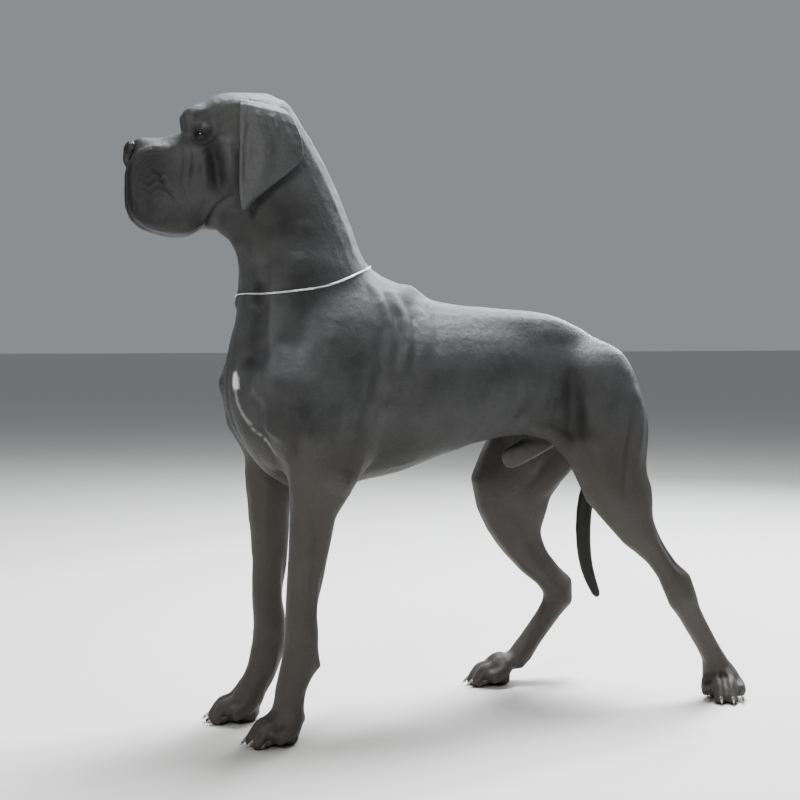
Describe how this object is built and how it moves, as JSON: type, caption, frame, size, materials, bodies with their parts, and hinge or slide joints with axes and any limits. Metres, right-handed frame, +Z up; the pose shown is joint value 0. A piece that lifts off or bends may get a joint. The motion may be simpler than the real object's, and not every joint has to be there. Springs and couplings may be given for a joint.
{
  "type": "great dane",
  "caption": "Life-size standing great dane with a blue-grey short coat, hanging ears, square flews, a long tail and a thin chain collar.",
  "frame": {"origin": "centre of the model's box in plan, on the floor the soles rest on", "axes": "+X from nose to tail, the dog looks towards -X; -Y is its left side; +Z up"},
  "size_m": [1.286, 0.4396, 1.2477],
  "materials": {
    "coat": "short satin fur",
    "ear_skin": "short satin fur on thin skin",
    "nose": "moist",
    "eye": "wet gloss",
    "claw": "smooth horn",
    "collar": "polished"
  },
  "bodies": {
    "root": {"head": "coat", "neck": "coat", "torso": "coat", "foreleg_left": "coat", "forepaw_left": "coat", "hindleg_left": "coat", "hindpaw_left": "coat", "foreleg_right": "coat", "forepaw_right": "coat", "hindleg_right": "coat", "hindpaw_right": "coat", "nose": "nose", "tail": "coat", "collar": "collar", "eye_left": "eye", "ear_left": "ear_skin", "eye_right": "eye", "ear_right": "ear_skin", "foreclaw_left_1": "claw", "foreclaw_left_2": "claw", "foreclaw_left_3": "claw", "foreclaw_left_4": "claw", "hindclaw_left_1": "claw", "hindclaw_left_2": "claw", "hindclaw_left_3": "claw", "hindclaw_left_4": "claw", "foreclaw_right_1": "claw", "foreclaw_right_2": "claw", "foreclaw_right_3": "claw", "foreclaw_right_4": "claw", "hindclaw_right_1": "claw", "hindclaw_right_2": "claw", "hindclaw_right_3": "claw", "hindclaw_right_4": "claw"}
  },
  "joints": []
}
